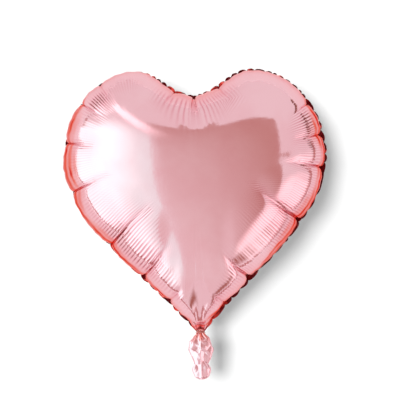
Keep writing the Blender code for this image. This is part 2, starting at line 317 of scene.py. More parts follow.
class Heart:
    """The smooth dome on a fine grid of rings by columns, with what each point lies near."""

    def __init__(self):
        self.edge, self.seam, self.inward, self.station, self.side = heart_loop(FINE_HALF)
        self.half_length = self.station.max()
        self.columns = len(self.seam)
        ways, coarse = coarse_push()
        places = np.arange(coarse.shape[1] + 1.0)
        wrapped = np.concatenate([coarse, coarse[:, :1]], axis=1)
        half = np.linspace(0.0, COARSE_HALF, FINE_HALF + 1)
        wanted = np.concatenate([half, [COARSE_HALF + 1.0], places[-1] - half[:0:-1]])
        around = wrapped @ spline_matrix(places, wanted, periodic=True).T
        sampled_ways = np.linspace(0.0, 1.0, 300) ** 2.2
        pushed = spline_matrix(ways, sampled_ways) @ around
        height = foil_profile(pushed) * FRONT_HEIGHT
        inner = middle_circle(self.seam)
        plan = self.seam + (inner - self.seam) * sampled_ways[:, None, None]
        height = self.even_neck(plan, height)
        self.lay_rings(np.dstack([plan, height]))
        self.find_nearest()

    def even_neck(self, plan, height):
        """Heights with the wobble of the coarse grid near the tie replaced by an even, tapering arch."""
        tie = (0.0, TIE_Y)
        radius = np.hypot(*np.moveaxis(plan - tie, -1, 0))
        angle = np.arctan2(np.abs(plan[:, :, 0]), plan[:, :, 1] - TIE_Y)
        middle = FINE_HALF
        side = self.seam[middle // 2 : middle + 1] - tie
        side_radius, side_angle = np.hypot(*side.T), np.arctan2(np.abs(side[:, 0]), side[:, 1])
        share = angle / np.interp(radius, side_radius[::-1], side_angle[::-1])
        top = np.interp(radius, radius[:, middle], height[:, middle])
        arch = top * foil_profile(np.clip(1.0 - share**2, 0.0, 1.0))
        return between(arch, height, rise(radius, *EVEN_NECK_END))

    def lay_rings(self, line):
        """Rings at the same distances up the film near the seam, then at even shares of what is left."""
        steps = np.arange(NEAR_RINGS + 1) / NEAR_RINGS
        near = NEAR_REACH * (steps + steps**2) / 2.0
        shares = np.arange(1, sum(MIDDLE_RINGS) + 1) / sum(MIDDLE_RINGS)
        run = np.linalg.norm(np.diff(line, axis=0), axis=2)
        travelled = np.concatenate([np.zeros((1, self.columns)), np.cumsum(run, axis=0)])
        rings = len(near) + len(shares)
        self.base = np.empty((rings, self.columns, 3))
        self.reach = np.empty((rings, self.columns))
        for column in range(self.columns):
            total = travelled[-1, column]
            start = np.minimum(near, 0.55 * total * steps)
            wanted = np.concatenate([start, start[-1] + (total - start[-1]) * shares])
            self.reach[:, column] = wanted
            for axis in range(3):
                self.base[:, column, axis] = np.interp(wanted, travelled[:, column], line[:, column, axis])
        across = np.roll(self.base, -1, axis=1) - np.roll(self.base, 1, axis=1)
        upward = np.gradient(self.base, axis=0)
        normal = np.cross(across, upward)
        normal /= np.linalg.norm(normal, axis=2)[:, :, None]
        # Near the middle the film faces up, which tells each column's outward side.
        faces_down = normal[-5:-4, :, 2:] < 0.0
        self.normal = np.where(faces_down, -normal, normal)

    def find_nearest(self):
        """For each point, the plan distance to the seam, the place along it and the side it is on."""
        tree = KDTree(self.columns)
        for number, (x, y) in enumerate(self.seam):
            tree.insert((x, y, 0.0), number)
        tree.balance()
        plan = self.base[:, :, :2].reshape(-1, 2)
        found = [tree.find((x, y, 0.0)) for x, y in plan]
        index = np.array([number for _, number, _ in found])
        distance = np.array([away for _, _, away in found])
        along = np.column_stack([-self.inward[index, 1], self.inward[index, 0]])
        slide = np.sum((plan - self.seam[index]) * along, axis=1) * self.side[index]
        shape = self.base.shape[:2]
        self.near_station = np.clip(self.station[index] + slide, 0.0, self.half_length).reshape(shape)
        self.near_side = self.side[index].reshape(shape)
        self.near_distance = np.sqrt(np.maximum(distance**2 - slide**2, 0.0)).reshape(shape)


# Creases, puckers and ripples of a film


class Creases:
    """The creases of one side of a film, and the ripples between them."""

    def __init__(self, creases, half_length, seed, overhangs, ripple_pitch, attack_reach, rippled_at):
        shares, lengths, depths = zip(*creases)
        self.places = np.array([0.0, *(share * half_length for share in shares), half_length])
        self.lengths = np.array([CLEFT_CREASE[0], *lengths, NECK_CREASE[0]])
        self.depths = np.array([CLEFT_CREASE[1], *depths, NECK_CREASE[1]])
        self.half_length = half_length
        self.seed = seed
        self.overhangs = overhangs
        self.ripple_pitch = ripple_pitch
        self.attack_reach = attack_reach
        self.rippled_at = rippled_at

    def noise(self, x, pitch, number):
        return wave_noise(x, pitch, self.seed + number)

    def lift(self, station, distance, reach):
        """How far the film stands out from the smooth dome, and how much painted shade its folds get, from
        0 to 2.
        """
        wander = CREASE_WANDER * self.noise(distance, 24.0, 5) * rise(distance, 0.0, 30.0)
        station = np.clip(station + wander, 0.0, self.half_length)
        share = station / self.half_length
        pillow = np.clip(np.searchsorted(self.places, station, side="right") - 1, 0, len(self.places) - 2)
        width = self.places[pillow + 1] - self.places[pillow]
        phase = (station - self.places[pillow]) / width
        near_crease = width * np.minimum(phase, 1.0 - phase)
        length = between(self.lengths[pillow], self.lengths[pillow + 1], smooth(phase))
        depth = between(self.depths[pillow], self.depths[pillow + 1], smooth(phase))
        pillows = self.pillows(phase, near_crease, distance, length, depth)
        overhang = self.overhang(share) * (1.0 - rise(reach, *OVERHANG_END))
        wrinkles, folds = self.wrinkles(station, distance, reach, near_crease, length)
        # A thin line of painted shade along each crease, fading inwards.
        folds = folds + 0.8 * falloff(near_crease, FOLD_SHADE_WIDTH) * (1.0 - rise(distance / length, 0.1, 1.0))
        return (pillows + overhang) * self.attack(share, reach) + wrinkles, np.clip(folds, 0.0, 2.0)

    def pillows(self, phase, near_crease, distance, length, depth):
        """The film bulges between two creases and is pinched along each of them."""
        arc = np.sin(np.pi * phase)
        flat_top = 1.0 - falloff(near_crease, PILLOW_EDGE)
        shoulder = 1.0 - rise(distance, *SHOULDER_END)
        inner = 1.0 - rise(distance / (length * (0.94 + 0.22 * arc)), 0.5, 0.5)
        bulge = depth * (0.55 * flat_top + 0.45 * arc) * (0.40 * shoulder + 0.60 * inner)
        groove = 0.5 * depth * falloff(near_crease, GROOVE_WIDTH)
        return bulge - groove * (1.0 - rise(distance / length, 0.0, 0.9))

    def attack(self, share, reach):
        """How far the relief has come up from the seam: 0 at the seam and 1 well inside."""
        top_reach, low_reach = self.attack_reach
        return 1.0 - falloff(reach, between(top_reach, low_reach, rise(share, 0.28, 0.20)), 1.3)

    def overhang(self, share):
        """How far the blown-up film stands out over the seal, from cleft to neck."""
        top, middle, low = self.overhangs
        return (
            1.0 + (top - 1.0) * rise(share, 0.06, 0.12)
            + (middle - top) * rise(share, 0.30, 0.15)
            + (low - middle) * rise(share, 0.60, 0.20)
            - low * rise(share, 0.90, 0.10)
        )

    def wrinkles(self, station, distance, reach, near_crease, length):
        """The small relief between the creases, and how much painted shade its valleys get."""
        share = station / self.half_length
        drift = 2.5 * self.noise(station, 34.0, 1) + 1.4 * self.noise(station, 11.0, 2)
        ripple = np.sin(2 * np.pi * (station + drift) / self.ripple_pitch)
        patch = self.ripple_patches(station, share, near_crease)
        band = rise(distance, 6.0, 9.0) * (1.0 - rise(distance, 22.0, 0.8 * length))
        fine = between(*RIPPLE_HEIGHTS, rise(share, 0.5, 0.1)) * ripple * patch * band
        bundle = self.crease_bundle(share, distance / length, near_crease)
        facets = FACET_HEIGHT * zigzag((station + 2.0 * drift) / FACET_PITCH)
        coarse = 0.25 * self.noise(station, 7.5, 4) + facets
        coarse = coarse * rise(reach, 0.0, 5.0) * falloff(distance, 15.0)
        # Painted shade in the ripple valleys, in the teeth near the shoulder and in the bundles beside the
        # creases.
        valley = np.clip(-ripple, 0.0, 1.0)
        teeth = falloff(distance - 15.0, 4.0, 2)
        folds = valley * patch * ((0.75 + 0.45 * rise(share, 0.45, 0.20)) * band + 0.35 * teeth)
        folds = folds + 0.9 * np.clip(-bundle, 0.0, 1.0)
        # Around this side's darkest spot the valleys get a deeper, brown painted shade.
        deep = falloff(share - self.rippled_at, 0.028, 4)
        deep = deep * rise(distance, 10.0, 4.0) * (1.0 - rise(distance, 22.0, 10.0))
        folds = between(folds, 2.0 * smooth(1.6 * valley), deep)
        ends = rise(station, 0.0, 5.0) * rise(self.half_length - station, 0.0, 8.0)
        lift = fine + BUNDLE_HEIGHT * bundle + self.terraces(station, reach) + coarse
        return lift * ends, folds * ends

    def ripple_patches(self, station, share, near_crease):
        """Where the ripples are strong: near creases, in the cleft and at this side's darkest spot."""
        patch = np.clip(0.62 + 0.70 * self.noise(station, 46.0, 3), 0.1, 1.3)
        patch = patch + 0.5 * falloff(near_crease, 8.0)
        patch = patch * (0.35 + 0.65 * rise(share, 0.25, 0.3)) * (1.0 - 0.5 * rise(share, 0.78, 0.1))
        patch = patch + 0.7 * (1.0 - rise(station, 35.0, 25.0))
        return patch + 1.1 * falloff(share - self.rippled_at, 0.035, 2)

    def crease_bundle(self, share, along, near_crease):
        """The fine folds that run beside each crease, from a fifth of its length to its end."""
        bundle = np.sin(2 * np.pi * near_crease / BUNDLE_PITCH) * falloff(near_crease, 9.0, 2)
        bundle = bundle * rise(along, 0.2, 0.2) * (1.0 - rise(along, 0.8, 0.3))
        return bundle * rise(share, 0.3, 0.2)

    def terraces(self, station, reach):
        """Low steps that run along the seam."""
        terrace = zigzag((reach + 4.0 * self.noise(station, 31.0, 6)) / TERRACE_PITCH)
        terrace = terrace * rise(reach, 0.0, 6.0) * (1.0 - rise(reach, 18.0, 14.0))
        return terrace * TERRACE_HEIGHT * np.clip(0.6 + self.noise(station, 53.0, 7), 0.0, 1.2)


def sided_noise(station, side, pitch, seed):
    """Noise that differs between the right-hand and the left-hand side."""
    return np.where(side > 0, wave_noise(station, pitch, seed), wave_noise(station, pitch, seed + 20))


def pucker_phase(station, side, half_length):
    """Counts the puckers of the seal, which grow longer towards the neck."""
    stretch_start = 0.30 * half_length
    longer = 0.42 * rise(station / half_length, 0.30, 0.30)
    shifted = station - longer * (station - stretch_start)
    drift = 5.0 * sided_noise(station, side, 37.0, 11) + 3.5 * sided_noise(station, side, 17.0, 12)
    return (shifted + drift) / PUCKER_PITCH


def calm_ends(station, half_length):
    """1 along the seal and 0 at the cleft and the neck, where it has no puckers."""
    return rise(station, 0.0, 6.0) * rise(half_length - station, 0.0, 15.0)


def seam_wave(phase, calm):
    """The up and down puckers of the seal, from about -1 to 1."""
    size = 0.85 + 0.3 * wave_noise(phase, 1.7, 13)
    return size * np.cos(2 * np.pi * phase) * calm


def crease_pull(station, side, sides_creases):
    """How far each crease pulls the seam into the heart."""
    pull = np.zeros_like(station)
    for sign, creases in sides_creases.items():
        own = np.zeros_like(station)
        for place, depth in zip(creases.places[1:-1], creases.depths[1:-1]):
            own += 0.75 * depth * falloff(station - place, 5.5)
        pull = np.where(side == sign, own, pull)
    return pull


def ridge_angle(radius):
    """How far to each side of the middle line the gathered film stands highest, in degrees at the tie."""
    return 13.0 + 9.0 * rise(radius, 25.0, 55.0)


def neck_pleats(points):
    """The ridges that spread from the tie, and the valley between the two lowest pillows."""
    x, y = points[:, :, 0], points[:, :, 1] - TIE_Y
    radius = np.hypot(x, y)
    share = np.degrees(np.arctan2(np.abs(x), y)) / ridge_angle(radius)
    size = np.minimum(0.09 * radius, 2.4) * (1.0 - rise(radius, 45.0, 95.0))
    return size * (0.6 * falloff(share - 1.0, 0.45, 2) - 0.8 * falloff(share, 0.6, 2))


def film_relief(heart, sides_creases):
    """How far a film stands out from the smooth dome, and how much painted shade its folds get, both sides
    together.
    """
    lift, folds = np.zeros_like(heart.reach), np.zeros_like(heart.reach)
    for sign, creases in sides_creases.items():
        own_lift, own_folds = creases.lift(heart.near_station, heart.near_distance, heart.reach)
        lift = np.where(heart.near_side == sign, own_lift, lift)
        folds = np.where(heart.near_side == sign, own_folds, folds)
    x, y = heart.base[:, :, 0], heart.base[:, :, 1]
    tie_distance = np.hypot(x, y - TIE_Y)
    ridge = np.minimum(np.tan(np.radians(ridge_angle(tie_distance))) * tie_distance, 40.0)
    beside_ridge = rise(np.abs(x), 0.7 * ridge, 0.6 * ridge + 0.5)
    pillowed = np.where(y < 20.0, beside_ridge, 1.0)
    return lift * pillowed + neck_pleats(heart.base) * rise(heart.reach, 0.0, 6.0), folds * pillowed


def gathered_bundle(heart):
    """The height of the film bunched in the tie."""
    tie_distance = np.hypot(heart.base[:, :, 0], heart.base[:, :, 1] - TIE_Y)
    return GATHER_RADIUS * (1.0 - rise(tie_distance, 3.0, 20.0)) * np.sqrt(1.0 - falloff(heart.reach, 1.2))


def seal_rings(heart, facing, phase, wave, pull, calm):
    """One film's half of the seal, from its scalloped edge inwards. The edges of the two halves cross."""
    outward = heart.edge - heart.seam
    shares = np.arange(EDGE_RINGS, 0, -1)[:, None] / EDGE_RINGS
    room = np.linalg.norm(outward, axis=1)[None] / SEAL_WIDTH
    gap = np.where(shares < 1.0, SEAL_GAP, -SEAL_GAP)
    arc = np.abs(np.sin(np.pi * phase)) ** 0.55
    scallop = 1.0 + (0.80 * arc - 0.58) * calm
    seal = np.empty((EDGE_RINGS, heart.columns, 3))
    seal[:, :, :2] = heart.seam[None] + outward[None] * (shares * scallop)[:, :, None]
    seal[:, :, :2] += heart.inward[None] * pull[:, :, None]
    seal[:, :, 2] = facing * wave * (0.5 + 1.1 * shares * room) + gap
    return seal, -shares * SEAL_WIDTH * np.ones((1, heart.columns))


def coral_reflection_share(heart, reach):
    """How much painted orange-red reflection the film gets: wavy stripes along the seam that fade inwards,
    and less of it at the tie.
    """
    share = heart.station / heart.half_length
    around = heart.station * heart.side
    coral_reflection_reach = 0.8 + CORAL_REFLECTION_REACH * rise(share, 0.22, 0.18) * (1.0 - 0.5 * rise(share, 0.72, 0.20))
    coral_reflection_reach *= 1.0 + 0.25 * wave_noise(around, 40.0, 77)
    coral_reflection = 1.0 - rise(reach / coral_reflection_reach[None], 0.7, 0.5)
    drift = 4.0 * wave_noise(around, 29.0, 78)
    stripes = 0.5 + 0.5 * np.cos(2 * np.pi * (reach + drift) / CORAL_REFLECTION_STRIPE_PITCH)
    broken = 0.5 + 0.5 * wave_noise(around + 3.0 * reach, 21.0, 79)
    between_stripes = np.where(heart.side < 0, 0.45, 0.3)
    coral_reflection *= between(between_stripes, 1.0, stripes**0.7)
    coral_reflection *= 1.0 + 0.6 * rise(stripes * broken, 0.45, 0.35)
    tie_distance = np.hypot(*(heart.seam - (0.0, TIE_Y)).T)
    return coral_reflection * (0.45 + 0.55 * rise(tie_distance, 10.0, 14.0))


def build_film(heart, name, facing, sides_creases):
    """One film of the heart with its half of the seal. facing is 1 for the front and -1 for the rear."""
    lift, folds = film_relief(heart, sides_creases)
    points = heart.base + heart.normal * lift[:, :, None]
    points[:, :, 2] = np.hypot(np.maximum(points[:, :, 2], 0.0), gathered_bundle(heart))
    station, side = heart.station[None], heart.side[None]
    phase = pucker_phase(station, side, heart.half_length)
    calm = calm_ends(station, heart.half_length)
    wave = seam_wave(phase, calm)
    pull = crease_pull(station, side, sides_creases)
    points[:, :, 2] += facing * 0.5 * wave * falloff(heart.reach, 6.0)
    points[:, :, :2] += heart.inward[None] * (pull * falloff(heart.reach, 22.0))[:, :, None]
    seal, seal_distance = seal_rings(heart, facing, phase, wave, pull, calm)
    points = np.concatenate([seal, points])
    points[:, :, 2] = SEAM_Z + facing * points[:, :, 2]
    on_seal = np.zeros((EDGE_RINGS, heart.columns))
    # The films carry painted shade in their folds and a painted orange-red reflection near the seam.
    point_values = {
        "seam_distance": np.concatenate([seal_distance, heart.near_distance]),
        "coral_reflection": coral_reflection_share(heart, np.concatenate([on_seal, heart.reach])),
        "fold_shade": np.concatenate([on_seal, folds]),
    }
    return finish_film(name, facing, points, point_values)


def stitched(outer, inner):
    """Faces between two rings of point numbers. The inner ring has as many points as the outer, or half."""
    if len(outer) == len(inner):
        return quads_between(outer, inner).tolist()
    corner, middle, following = outer[::2], outer[1::2], np.roll(outer, -2)[::2]
    after = np.roll(inner, -1)
    triangles = ((corner, inner, middle), (middle, inner, after), (middle, after, following))
    return [face for corners in triangles for face in np.column_stack(corners).tolist()]


def finish_film(name, facing, points, point_values):
    """Joins the rings with fewer and fewer columns towards the middle, and closes the middle."""
    rings = len(points)
    first_thin = EDGE_RINGS + NEAR_RINGS + 1
    second_thin = first_thin + MIDDLE_RINGS[0]
    strides = np.where(np.arange(rings) < first_thin, 1, np.where(np.arange(rings) < second_thin, 2, 4))

    def thinned(values):
        kept = [values[ring, :: strides[ring]] for ring in range(rings)]
        return np.concatenate([*kept, values[-1].mean(axis=0)[None]])

    all_points = thinned(points)
    sizes = [len(points[ring, :: strides[ring]]) for ring in range(rings)]
    numbers = np.split(np.arange(sum(sizes)), np.cumsum(sizes)[:-1])
    faces = [face for outer, inner in zip(numbers, numbers[1:]) for face in stitched(outer, inner)]
    last, centre = numbers[-1], len(all_points) - 1
    faces += np.column_stack([last, np.full(len(last), centre), np.roll(last, -1)]).tolist()
    if facing < 0:
        all_points[:, 2] = np.maximum(all_points[:, 2], FLOOR_CLEARANCE)
        faces = [face[::-1] for face in faces]
    film = new_object(name, all_points, faces)
    for key, values in point_values.items():
        add_point_values(film, key, thinned(values))
    return film


heart = Heart()
front_creases = {
    1.0: Creases(
        RIGHT_CREASES, heart.half_length, seed=101, overhangs=(1.2, 0.0, 0.0),
        ripple_pitch=4.1, attack_reach=(4.5, 13.0), rippled_at=0.372,
    ),
    -1.0: Creases(
        LEFT_CREASES, heart.half_length, seed=202, overhangs=(4.6, 3.4, 1.4),
        ripple_pitch=4.8, attack_reach=(4.5, 5.5), rippled_at=0.283,
    ),
}
front_foil = build_film(heart, "front_foil", 1, front_creases)


def random_creases(seed, count=8):
    picker = np.random.default_rng(seed)
    shares = (np.arange(count) + 0.6 + picker.uniform(-0.22, 0.22, count)) / (count + 0.6)
    lengths = 26.0 + 48.0 * shares + picker.uniform(-6.0, 6.0, count)
    depths = 2.2 + 2.0 * smooth(shares * 1.3) + picker.uniform(-0.3, 0.3, count)
    return tuple(zip(shares, lengths, depths))


rear_creases = {
    sign: Creases(
        random_creases(crease_seed), heart.half_length, seed=seed, overhangs=(2.0, 1.5, 1.0),
        ripple_pitch=5.2, attack_reach=(5.0, 8.0), rippled_at=0.3,
    )
    for sign, crease_seed, seed in ((1.0, 51, 303), (-1.0, 52, 404))
}
rear_foil = build_film(heart, "rear_foil", -1, rear_creases)


# The tail below the tie


def crumple(points, seed, pitches, size):
    """Flat facets with sharp folds between them, as in crushed foil."""
    picker = np.random.default_rng(seed)
    total = np.zeros(len(points))
    for pitch in pitches:
        way = picker.normal(size=3) * (1.0, 0.7, 0.6)
        way /= np.linalg.norm(way)
        place = points @ way / pitch + picker.uniform()
        bend = wave_noise(points[:, 1], 17.0, picker.integers(1000))
        total += size * pitch / 10.0 * zigzag(place + 0.35 * bend)
    return total


def tube_faces(rows, around):
    """The faces of a tube made of rows of points, with both ends closed."""
    numbers = np.arange(rows * around).reshape(rows, around)
    faces = np.concatenate([quads_between(a, b)[:, ::-1] for a, b in zip(numbers, numbers[1:])]).tolist()
    return faces + [numbers[0].tolist(), numbers[-1][::-1].tolist()]


def flattened_tube(stations, around, along, thinnest=0.4):
    """The points of a tube with a lens-shaped section, and the angle of each round it."""
    table = np.array(stations, float)
    y = np.linspace(table[0, 0], table[-1, 0], along)
    order = np.argsort(table[:, 0])
    matrix = spline_matrix(table[order, 0], y)
    half_width = np.maximum(matrix @ table[order, 1], thinnest)
    half_thick = np.maximum(matrix @ table[order, 2], thinnest)
    angle = np.linspace(0.0, 2 * np.pi, around, endpoint=False)
    points = np.empty((along, around, 3))
    points[:, :, 0] = half_width[:, None] * np.abs(np.cos(angle)) ** 0.9 * np.sign(np.cos(angle))
    points[:, :, 1] = y[:, None]
    points[:, :, 2] = half_thick[:, None] * np.abs(np.sin(angle)) ** 0.85 * np.sign(np.sin(angle))
    return points.reshape(-1, 3), np.tile(angle, along)


def tail_piece(name, stations, seed, around=180, along=110):
    """A closed, flattened and crumpled tube. stations holds rows of y, half width and half thickness."""
    flat, angle = flattened_tube(stations, around, along)
    below = np.abs(flat[:, 1] - TIE_Y)
    pleats = np.cos(TAIL_PLEATS * angle + 1.2 * wave_noise(below, 9.0, seed))
    lift = pleats * np.minimum(0.5 + 0.06 * below, 1.0) * (1.0 - rise(below, 7.0, 16.0))
    ridge = falloff(flat[:, 0] - 1.2 * wave_noise(below, 12.0, seed + 4), 1.8)
    lift += TAIL_RIDGE_HEIGHT * ridge * rise(below, 4.0, 8.0)
    lift += crumple(flat, seed, TAIL_FACETS, TAIL_FACET_HEIGHT) * rise(below, 2.0, 10.0)
    outward = flat * (1.0 / 14.0, 0.0, 1.0 / 5.0)
    outward /= np.linalg.norm(outward, axis=1)[:, None] + 1e-6
    points = flat + outward * lift[:, None] + (0.0, 0.0, SEAM_Z)
    piece = new_object(name, points, tube_faces(along, around))
    add_point_values(piece, "seam_distance", np.clip(below, 0.0, 60.0))
    # Painted orange-red reflection on the pleats next to the tie.
    pleat_reflection = np.clip(pleats * 0.5 + 0.65, 0.0, 1.0)
    add_point_values(piece, "coral_reflection", (1.0 - rise(below, 4.0, 14.0)) * pleat_reflection)
    return piece


tail_film = tail_piece(
    "tail_film",
    (
        (TIE_Y + 4.0, 4.6, 2.0), (TIE_Y, 4.8, 2.3), (TIE_Y - 4.0, 6.4, 3.2), (TIE_Y - 9.0, 11.5, 4.6),
        (TIE_Y - 16.0, 16.2, 5.6), (-245.0, 17.2, 6.0), (-256.0, 15.6, 5.2), (-263.0, 12.4, 3.8),
        (-267.5, 10.6, 2.8),
    ),
    seed=61,
)
tail_tip_film = tail_piece(
    "tail_tip_film",
    (
        (-263.5, 9.0, 2.4), (-267.0, 10.4, 3.2), (-272.0, 13.0, 4.8), (-278.0, 13.8, 5.4),
        (-284.0, 12.2, 4.6), (-288.0, 8.2, 3.0), (TAIL_END_Y, 3.0, 1.2),
    ),
    seed=77,
    along=80,
)


# The thread round the neck


def thread(name, path, radius=0.42, twist_pitch=1.6, sides=16):
    """A two-ply twisted thread swept along a path."""
    ahead = np.gradient(path, axis=0)
    ahead /= np.linalg.norm(ahead, axis=1)[:, None]
    travelled = np.cumsum(np.linalg.norm(np.diff(path, axis=0, prepend=path[:1]), axis=1))
    first = np.cross(ahead, (0.0, 0.0, 1.0))
    first /= np.linalg.norm(first, axis=1)[:, None]
    second = np.cross(first, ahead)
    angle = np.linspace(0.0, 2 * np.pi, sides, endpoint=False)
    turned = 2 * np.pi * travelled / twist_pitch
    ring = radius * (1.0 - 0.16 * np.abs(np.cos(angle[None] - turned[:, None])) ** 3)
    points = (
        path[:, None]
        + first[:, None] * (ring * np.cos(angle))[:, :, None]
        + second[:, None] * (ring * np.sin(angle))[:, :, None]
    )
    return new_object(name, points.reshape(-1, 3), tube_faces(len(path), sides))


def tie_path(turns=3, half_width=5.9, half_height=3.5, pitch=1.0, points_per_turn=260):
    turn = np.linspace(0.0, 2 * np.pi * turns, points_per_turn * turns)
    y = TIE_Y + pitch * (turn / (2 * np.pi) - turns / 2.0)
    return np.column_stack([half_width * np.sin(turn), y, SEAM_Z + half_height * np.cos(turn)])


def knot_path(height=4.5, half_width=1.5, half_length=1.3, end_length=6.5, count=400):
    """A small overhand loop with its two ends lying out to the sides."""
    t = np.linspace(-0.5, 0.5, count)
    turn = 3 * np.pi * t
    ends = rise(np.abs(t), 0.3, 0.2)
    x = half_width * np.sin(2 * turn) + end_length * np.sign(t) * ends
    y = TIE_Y + half_length * np.cos(turn) - 1.4 * ends
    z = SEAM_Z + height + 0.55 * np.cos(3 * turn) - rise(np.abs(t), 0.25, 0.25)
    return np.column_stack([x, y, z])


neck_thread = thread("neck_thread", tie_path())
tie_knot_thread = thread("tie_knot_thread", knot_path())


# Finishes


def feed(tree, socket, value):
    """Links another node's output to a socket, or sets the socket's own value."""
    if isinstance(value, bpy.types.NodeSocket):
        tree.links.new(value, socket)
    else:
        socket.default_value = value


def node(tree, kind, inputs=(), **settings):
    made = tree.nodes.new(kind)
    for key, value in settings.items():
        setattr(made, key, value)
    for socket, value in dict(inputs).items():
        feed(tree, made.inputs[socket], value)
    return made


def noise(tree, place, scale, detail=3.0, roughness=0.55, distortion=0.0):
    inputs = {"Vector": place, "Scale": scale, "Detail": detail, "Roughness": roughness}
    return node(tree, "ShaderNodeTexNoise", {**inputs, "Distortion": distortion}).outputs["Fac"]


def spread(tree, value, low, high, to_low=0.0, to_high=1.0, kind="SMOOTHSTEP"):
    inputs = {"Value": value, "From Min": low, "From Max": high, "To Min": to_low, "To Max": to_high}
    return node(tree, "ShaderNodeMapRange", inputs, interpolation_type=kind).outputs["Result"]


def mix_colour(tree, share, first, second):
    return node(tree, "ShaderNodeMix", {0: share, 6: first, 7: second}, data_type="RGBA").outputs[2]


def arithmetic(tree, operation, first, second=0.0):
    return node(tree, "ShaderNodeMath", {0: first, 1: second}, operation=operation).outputs[0]


def point_value(tree, name):
    return node(tree, "ShaderNodeAttribute", attribute_name=name).outputs["Fac"]


ROSE = (0.83, 0.50, 0.545, 1.0)
DEEP_ROSE = (0.81, 0.455, 0.50, 1.0)
# Painted orange-red reflection near the seam, deeper where it is strongest.
CORAL_REFLECTION = (0.74, 0.155, 0.115, 1.0)
DEEP_CORAL_REFLECTION = (0.62, 0.045, 0.04, 1.0)
# Painted shade in the folds: deep rose, and brown where it is deepest.
FOLD_SHADE_ROSE = (0.69, 0.25, 0.30, 1.0)
FOLD_SHADE_BROWN = (0.26, 0.085, 0.08, 1.0)
# Painted colours of the seal: red for light bounced between seal and film, and a dark painted shade.
SEAL_REFLECTION_RED = (0.58, 0.05, 0.04, 1.0)
SEAL_SHADE_DARK = (0.10, 0.004, 0.006, 1.0)
EDGE_TINT = (0.95, 0.56, 0.54, 1.0)
# The edge tint under the painted orange-red reflection.
EDGE_CORAL_REFLECTION = (0.92, 0.24, 0.19, 1.0)
MILKY, MILKY_SHADE = (0.82, 0.80, 0.78, 1.0), (0.70, 0.68, 0.67, 1.0)
THREAD_DARK, THREAD_LIGHT = (0.30, 0.04, 0.04, 1.0), (0.62, 0.16, 0.12, 1.0)
FLOOR_WHITE, FLOOR_BRIGHTER = (0.88, 0.88, 0.88, 1.0), (0.89, 0.89, 0.89, 1.0)


def new_material(name, kind="ShaderNodeBsdfPrincipled"):
    """A material with one surface shader, and its object coordinates in metres."""
    material = bpy.data.materials.new(name)
    material.use_nodes = True
    tree = material.node_tree
    tree.nodes.clear()
    shader = node(tree, kind)
    node(tree, "ShaderNodeOutputMaterial", {"Surface": shader.outputs[0]})
    place = node(tree, "ShaderNodeTexCoord").outputs["Object"]
    return material, tree, shader, place


def coat(tree, shader, colour, roughness):
    feed(tree, shader.inputs["Base Color"], colour)
    feed(tree, shader.inputs["Roughness"], roughness)


def add_relief(tree, shader, height, strength, depth):
    bump = node(tree, "ShaderNodeBump", {"Height": height, "Strength": strength, "Distance": depth})
    feed(tree, shader.inputs["Normal"], bump.outputs["Normal"])


def foil_colour(tree, place, coral_reflection):
    """Rose in the open, painted shade in the folds, a painted orange-red reflection towards the seam, and
    painted dark red reflection and shade on the seal.
    """
    rose = mix_colour(tree, spread(tree, noise(tree, place, 14.0), 0.35, 0.65), ROSE, DEEP_ROSE)
    fold_shade = point_value(tree, "fold_shade")
    fold_shaded = mix_colour(tree, spread(tree, fold_shade, 0.0, 1.0, 0.0, 0.9, "LINEAR"), rose, FOLD_SHADE_ROSE)
    fold_shaded = mix_colour(tree, spread(tree, fold_shade, 1.0, 2.0), fold_shaded, FOLD_SHADE_BROWN)
    body = mix_colour(tree, coral_reflection, fold_shaded, CORAL_REFLECTION)
    body = mix_colour(tree, spread(tree, coral_reflection, 0.95, 1.4), body, DEEP_CORAL_REFLECTION)
    # The seal is painted red for light bounced between seal and film, with painted shade in blotches and
    # more of it towards the right, under the overhanging film.
    across = node(tree, "ShaderNodeSeparateXYZ", {0: place}).outputs[0]
    painted_shade_right = spread(tree, across, -0.02, 0.10, 0.0, 0.13)
    seal_shade = arithmetic(tree, "ADD", noise(tree, place, 70.0, 2.0), painted_shade_right)
    seal = mix_colour(tree, spread(tree, seal_shade, 0.42, 0.56), SEAL_REFLECTION_RED, SEAL_SHADE_DARK)
    on_seal = spread(tree, point_value(tree, "seam_distance"), -0.9, 0.3, 1.0, 0.0)
    return mix_colour(tree, on_seal, body, seal)


def foil_material(name, smoothest, crinkle):
    """Mirror foil. smoothest is its least roughness and crinkle the strength of its finest relief."""
    material, tree, shader, place = new_material(name)
    # The painted orange-red reflection near the seam, broken into patches; it also reddens the edge tint.
    patchy = spread(tree, noise(tree, place, 26.0), 0.25, 0.5, 0.6, 1.0)
    coral_reflection = arithmetic(tree, "MULTIPLY", point_value(tree, "coral_reflection"), patchy)
    worn = spread(tree, noise(tree, place, 60.0, 5.0), 0.3, 0.7, smoothest, smoothest + 0.06)
    coat(tree, shader, foil_colour(tree, place, coral_reflection), worn)
    shader.inputs["Metallic"].default_value = 1.0
    feed(tree, shader.inputs["Specular Tint"], mix_colour(tree, coral_reflection, EDGE_TINT, EDGE_CORAL_REFLECTION))
    add_relief(tree, shader, noise(tree, place, 190.0, 3.0, 0.6, 0.6), crinkle, 0.00012)
    return material


def clear_film_material():
    """Milky plastic of the valve, inside the neck."""
    material, tree, shader, place = new_material("valve_film")
    cloud = noise(tree, place, 55.0)
    tone = mix_colour(tree, spread(tree, cloud, 0.3, 0.7), MILKY, MILKY_SHADE)
    coat(tree, shader, tone, spread(tree, noise(tree, place, 160.0), 0.3, 0.7, 0.22, 0.38))
    add_relief(tree, shader, cloud, 0.3, 0.0003)
    return material


